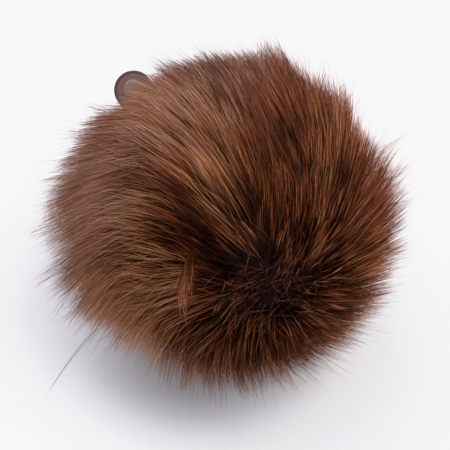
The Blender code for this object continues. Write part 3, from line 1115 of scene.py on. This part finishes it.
@dataclass(frozen=True)
class WaxedThread(Finish):
    """Waxed binding thread, wound over the edge: dark, with a soft gleam on each turn."""

    name: str = "waxed_thread"
    colour: str = "5c4238"
    dark: str = "35241e"
    roughness: float = 0.55

    # A fibre is about 0.02 mm thick, too fine to show, so its mottle is drawn coarser
    fibre_mm: float = 0.5556

    def material(self) -> bpy.types.Material:
        """Builds the thread's fine fibre as a mottle of colour."""
        material, tree, shader = self.start()
        place = add_node(tree, "ShaderNodeTexCoord").outputs["Object"]
        size = {"Scale": 1000 / self.fibre_mm, "Detail": 3.0}
        fibre = add_node(tree, "ShaderNodeTexNoise", size, {"Vector": place})
        band = add_node(tree, "ShaderNodeValToRGB", links={"Fac": fibre.outputs["Fac"]})
        band.color_ramp.elements[0].position = 0.35
        band.color_ramp.elements[0].color = linear(self.dark)
        band.color_ramp.elements[1].position = 0.65
        band.color_ramp.elements[1].color = linear(self.colour)
        tree.links.new(band.outputs["Color"], shader.inputs["Base Color"])
        return material


@dataclass(frozen=True)
class SatinPlastic(Finish):
    """Moulded acetal with a satin face: smooth, pale, with faint rubbing marks."""

    name: str = "satin_acetal"
    colour: str = "96796c"
    dark: str = "7d6257"
    roughness: float = 0.42
    ior: float = 1.48
    mottle_mm: float = 2.0

    def material(self) -> bpy.types.Material:
        """Builds the faint mottle that handling leaves."""
        material, tree, shader = self.start()
        shader.inputs["IOR"].default_value = self.ior
        place = add_node(tree, "ShaderNodeTexCoord").outputs["Object"]
        size = {"Scale": 1000 / self.mottle_mm, "Detail": 5.0}
        mottle = add_node(tree, "ShaderNodeTexNoise", size, {"Vector": place})
        band = add_node(tree, "ShaderNodeValToRGB", links={"Fac": mottle.outputs["Fac"]})
        band.color_ramp.elements[0].color = linear(self.dark)
        band.color_ramp.elements[1].color = linear(self.colour)
        tree.links.new(band.outputs["Color"], shader.inputs["Base Color"])
        return material


def ring_faces(rows: int, columns: int, closed: bool) -> Array:
    """Returns the triangles of a grid whose columns run round.

    Args:
        rows: rows of the grid.
        columns: places round a row.
        closed: whether the last row is joined to the first.
    """
    number = np.arange(rows * columns).reshape(rows, columns)
    lower = number if closed else number[:-1]
    upper = np.roll(number, -1, axis=0) if closed else number[1:]
    lower_after, upper_after = np.roll(lower, -1, axis=1), np.roll(upper, -1, axis=1)
    halves = ((lower, lower_after, upper), (lower_after, upper_after, upper))
    return np.concatenate([np.stack(half, axis=-1).reshape(-1, 3) for half in halves])


def capped_faces(rows: int, columns: int) -> Array:
    """Returns the triangles of an open grid and of the two poles that close its ends."""
    first, last = np.arange(columns), np.arange(columns) + (rows - 1) * columns
    poles = rows * columns, rows * columns + 1
    start = np.stack((np.full(columns, poles[0]), np.roll(first, -1), first), axis=-1)
    end = np.stack((np.full(columns, poles[1]), last, np.roll(last, -1)), axis=-1)
    return np.concatenate((ring_faces(rows, columns, False), start, end))


@dataclass
class SnapTab:
    """The tab: a leather strip, its overcast edging and the press stud through its round end."""

    place: TabPlace = TAB
    rivet_radius: float = 1.2 * MM
    cap_radius: float = 3.9 * MM
    cap_height: float = 1.3 * MM
    flange_radius: float = 4.6 * MM
    flange_thickness: float = 0.9 * MM
    stud_radius: float = 2.2 * MM
    stud_height: float = 2.0 * MM
    thread_pitch: float = 0.85 * MM
    thread_relief: float = 0.2
    rim_spacing: float = 0.5 * MM
    bead_spacing: float = 0.14 * MM
    bevel: float = 0.35 * MM
    wave_height: float = 0.05 * MM
    cap_rim: float = 0.25 * MM
    round_edge: float = 0.15 * MM

    def outline(self, half: float, start: float, spacing: float) -> Array:
        """Returns even steps up one side, round the end and down the other, (steps, 2)."""
        side = abs(start)
        way = np.arange(0, 2 * side + math.pi * half, spacing)
        turn = np.clip((way - side) / half, 0, math.pi)
        across = half * np.cos(turn)
        along = half * np.sin(turn)
        along = np.where(way < side, way - side, along)
        along = np.where(way > side + math.pi * half, side + math.pi * half - way, along)
        return np.stack((across, along), axis=-1)

    def strip(self) -> None:
        """Builds the strip: a ring of sections, each from the rivet's hole over the rounded rim.

        Round the strip, u goes round its outline and the hole alike. Round a section, v goes from
        the hole out along the face, round the rim and back along the other face. The faces rise
        and fall by a twentieth of a millimetre, as handled leather does.
        """
        half = self.place.width / 2 - self.place.edging_radius
        start = float(self.place.root(np.array(half)))
        rim = self.outline(half, start, self.rim_spacing)
        foot = np.linspace(-half, half, 22)[1:-1]
        rim = np.concatenate((rim, np.stack((foot, self.place.root(foot)), axis=-1)))
        angle = np.arctan2(rim[:, 1], rim[:, 0])
        hole_radius = self.rivet_radius + self.place.seat_gap
        hole = hole_radius * np.stack((np.cos(angle), np.sin(angle)), axis=-1)
        share = np.concatenate((np.linspace(0, 1, 10), np.ones(3), np.linspace(1, 0, 10)))
        thick = self.place.thickness / 2
        drop = np.concatenate((np.ones(9), (0.75, 0.3, 0.0, -0.3, -0.75), np.full(9, -1.0)))
        inset = np.concatenate((np.zeros(9), (0.35, 0.05, 0.0, 0.05, 0.35), np.zeros(9))) * self.bevel
        flat = hole[None] + (rim - hole)[None] * share[:, None, None]
        flat = flat - unit(rim)[None] * inset[:, None, None]
        wave = np.sin(flat[..., 0] / (1.3 * MM)) * np.sin(flat[..., 1] / (1.7 * MM) + 1.0)
        on_face = (np.abs(drop) == 1)[:, None] * np.sign(drop)[:, None]
        height = drop[:, None] * thick - self.wave_height * (1 + wave) * on_face
        own = np.concatenate((flat, height[..., None]), axis=-1)
        faces = ring_faces(len(share), len(rim), True)
        mesh = triangle_mesh("tab_strip", self.place.to_world(own.reshape(-1, 3)), faces[:, ::-1])
        add_piece("tab_strip", mesh, GrainedLeather().material(), "brown_leather", "tab")

    def edging(self) -> None:
        """Builds the edging: a bead whose radius swells with each slanted turn of the thread.

        At way s along it and angle a round it, its radius is r times 1 - relief + relief times the
        size of sin(pi s / pitch + a / 2).
        """
        half = self.place.width / 2 - self.place.edging_radius
        radius = self.place.edging_radius
        start = float(self.place.root(np.array(half + radius))) + radius
        line = self.outline(half, start, self.bead_spacing)
        heading = unit(np.gradient(line, axis=0))
        outwards = np.stack((heading[:, 1], -heading[:, 0]), axis=-1)
        rows, columns = len(line), 18
        turn = np.arange(columns) * (math.tau / columns)
        way = np.arange(rows)[:, None] * self.bead_spacing
        wound = np.abs(np.sin(math.pi * way / self.thread_pitch + turn / 2))
        swell = 1 - self.thread_relief + self.thread_relief * wound
        own = np.empty((rows, columns, 3))
        own[..., :2] = line[:, None] + outwards[:, None] * (np.cos(turn) * swell * radius)[..., None]
        own[..., 2] = np.sin(turn) * swell * radius
        ends = np.concatenate((line[:1], line[-1:]))
        poles = np.concatenate((ends, np.zeros((2, 1))), axis=1)
        points = np.concatenate((own.reshape(-1, 3), poles))
        mesh = triangle_mesh("tab_edging", self.place.to_world(points), capped_faces(rows, columns))
        add_piece("tab_edging", mesh, WaxedThread().material(), "dark_binding", "edging")

    def stud(self) -> None:
        """Builds the press stud: cap, rivet, flange and stud in one profile turned round the normal."""
        face = self.place.thickness / 2 + self.place.seat_gap
        back = -face - self.flange_thickness
        end = back - self.stud_height
        cap = self.cap_radius
        turn = np.linspace(0.12, math.pi / 2, 7)
        rise = face + self.cap_rim + (self.cap_height - self.cap_rim) * np.cos(turn)
        crown = np.stack((cap * np.sin(turn), rise), axis=-1)
        crown[:3, 1] -= np.array((0.10, 0.07, 0.02)) * MM
        profile = np.concatenate(
            (
                crown,
                (
                    (cap, face + 0.1 * MM),
                    (cap * 0.97, face),
                    (self.rivet_radius, face),
                    (self.rivet_radius, -face),
                    (self.flange_radius - 0.1 * MM, -face),
                    (self.flange_radius, -face - self.round_edge),
                    (self.flange_radius, back + self.round_edge),
                    (self.flange_radius - self.round_edge, back),
                    (self.stud_radius * 0.85, back),
                    (self.stud_radius * 0.88, back - self.stud_height * 0.3),
                    (self.stud_radius, back - self.stud_height * 0.6),
                    (self.stud_radius * 0.97, back - self.stud_height * 0.85),
                    (self.stud_radius * 0.8, end),
                ),
            )
        )
        columns = 64
        turn = np.arange(columns) * (math.tau / columns)
        own = np.empty((len(profile), columns, 3))
        own[..., 0] = profile[:, :1] * np.cos(turn)
        own[..., 1] = profile[:, :1] * np.sin(turn)
        own[..., 2] = profile[:, 1:]
        poles = np.array(((0, 0, crown[0, 1]), (0, 0, end)))
        points = np.concatenate((own.reshape(-1, 3), poles))
        faces = capped_faces(len(profile), columns)[:, ::-1]
        mesh = triangle_mesh("press_stud_turned", self.place.to_world(points), faces)
        mesh.set_sharp_from_angle(angle=math.radians(40))
        add_piece("press_stud_turned", mesh, SatinPlastic().material(), "satin_plastic", "press_stud")

    def build(self) -> None:
        """Builds the strip, the edging and the press stud."""
        self.strip()
        self.edging()
        self.stud()


@dataclass(frozen=True)
class Studio:
    """The pale table, the soft light and the camera of the photograph."""

    floor_size: float = 4.0
    floor_colour: str = "f2f2f2"
    floor_glow: float = 0.03
    sky_colour: str = "f0f3ff"
    sky_strength: float = 0.56

    lamps = (
        # (name, place in metres, size, power in watts, colour)
        ("window", (1.3, -0.2, 2.5), 1.8, 44.0, "fffdfb"),
        ("ceiling", (-1.2, 1.4, 2.4), 2.6, 42.0, "fdfbff"),
    )

    # Light that falls on the film and the level it gives
    shoulder = ((0.45, 0.45), (0.65, 0.72), (0.8, 0.86), (0.9, 0.9), (1.0, 0.92))

    def floor(self) -> None:
        """Lays the pale table top."""
        half = self.floor_size / 2
        corners = np.array(((-half, -half, 0), (half, -half, 0), (half, half, 0), (-half, half, 0)))
        mesh = bpy.data.meshes.new("table_top")
        mesh.from_pydata(corners, [], [(0, 1, 2, 3)])
        material = bpy.data.materials.new("white_table")
        material.use_nodes = True
        shader = material.node_tree.nodes["Principled BSDF"]
        shader.inputs["Base Color"].default_value = linear(self.floor_colour)
        shader.inputs["Roughness"].default_value = 0.6
        shader.inputs["Emission Color"].default_value = linear("ffffff")
        shader.inputs["Emission Strength"].default_value = self.floor_glow
        mesh.materials.append(material)
        table = bpy.data.objects.new("table_top", mesh)
        bpy.context.scene.collection.objects.link(table)

    def light(self, name: str, place: tuple, size: float, power: float, colour: str) -> None:
        """Hangs a square soft light that faces the ball.

        Args:
            name: the light's name.
            place: where it hangs, in metres.
            size: the length of its side.
            power: in watts.
            colour: its sRGB hex colour.
        """
        lamp = bpy.data.lights.new(name, "AREA")
        lamp.size = size
        lamp.energy = power
        lamp.color = linear(colour)[:3]
        thing = bpy.data.objects.new(name, lamp)
        thing.location = place
        heading = Vector((CENTRE - np.array(place)).tolist())
        thing.rotation_euler = heading.to_track_quat("-Z", "Y").to_euler()
        bpy.context.scene.collection.objects.link(thing)

    def film(self) -> None:
        """Gives the picture a photograph's shoulder, on which a bright table stays pale and even."""
        settings = bpy.context.scene.view_settings
        settings.use_curve_mapping = True
        curve = settings.curve_mapping.curves[3]
        curve.points[1].location = (1.0, self.shoulder[-1][1])
        for place, level in self.shoulder[:-1]:
            curve.points.new(place, level)
        for point in curve.points:
            point.handle_type = "VECTOR"
        settings.curve_mapping.update()

    def camera(self) -> None:
        """Sets the camera at the photograph's angle, with the ball's centre a little off the middle."""
        lens = bpy.data.cameras.new("camera")
        lens.lens = SIGHT.lens_mm
        lens.sensor_width = 36.0
        thing = bpy.data.objects.new("camera", lens)
        aim = CENTRE - SIGHT.right * SIGHT.aim_left - SIGHT.up * SIGHT.aim_below
        thing.location = aim + SIGHT.near * SIGHT.distance
        thing.rotation_euler = (math.pi / 2 - SIGHT.elevation, 0, 0)
        bpy.context.scene.collection.objects.link(thing)
        bpy.context.scene.camera = thing

    def build(self) -> None:
        """Builds the table, lights, sky and camera."""
        self.floor()
        for name, place, size, power, colour in self.lamps:
            self.light(name, place, size, power, colour)
        world = bpy.data.worlds.new("room")
        world.use_nodes = True
        sky = world.node_tree.nodes["Background"]
        sky.inputs["Color"].default_value = linear(self.sky_colour)
        sky.inputs["Strength"].default_value = self.sky_strength
        bpy.context.scene.world = world
        bpy.context.scene.view_settings.view_transform = "Standard"
        self.film()
        self.camera()


def main() -> None:
    """Builds the studio and the pieces."""
    logging.basicConfig(level=logging.INFO, format="%(message)s")
    Studio().build()
    SnapTab().build()
    FurBall().build()


if __name__ == "__main__":
    main()
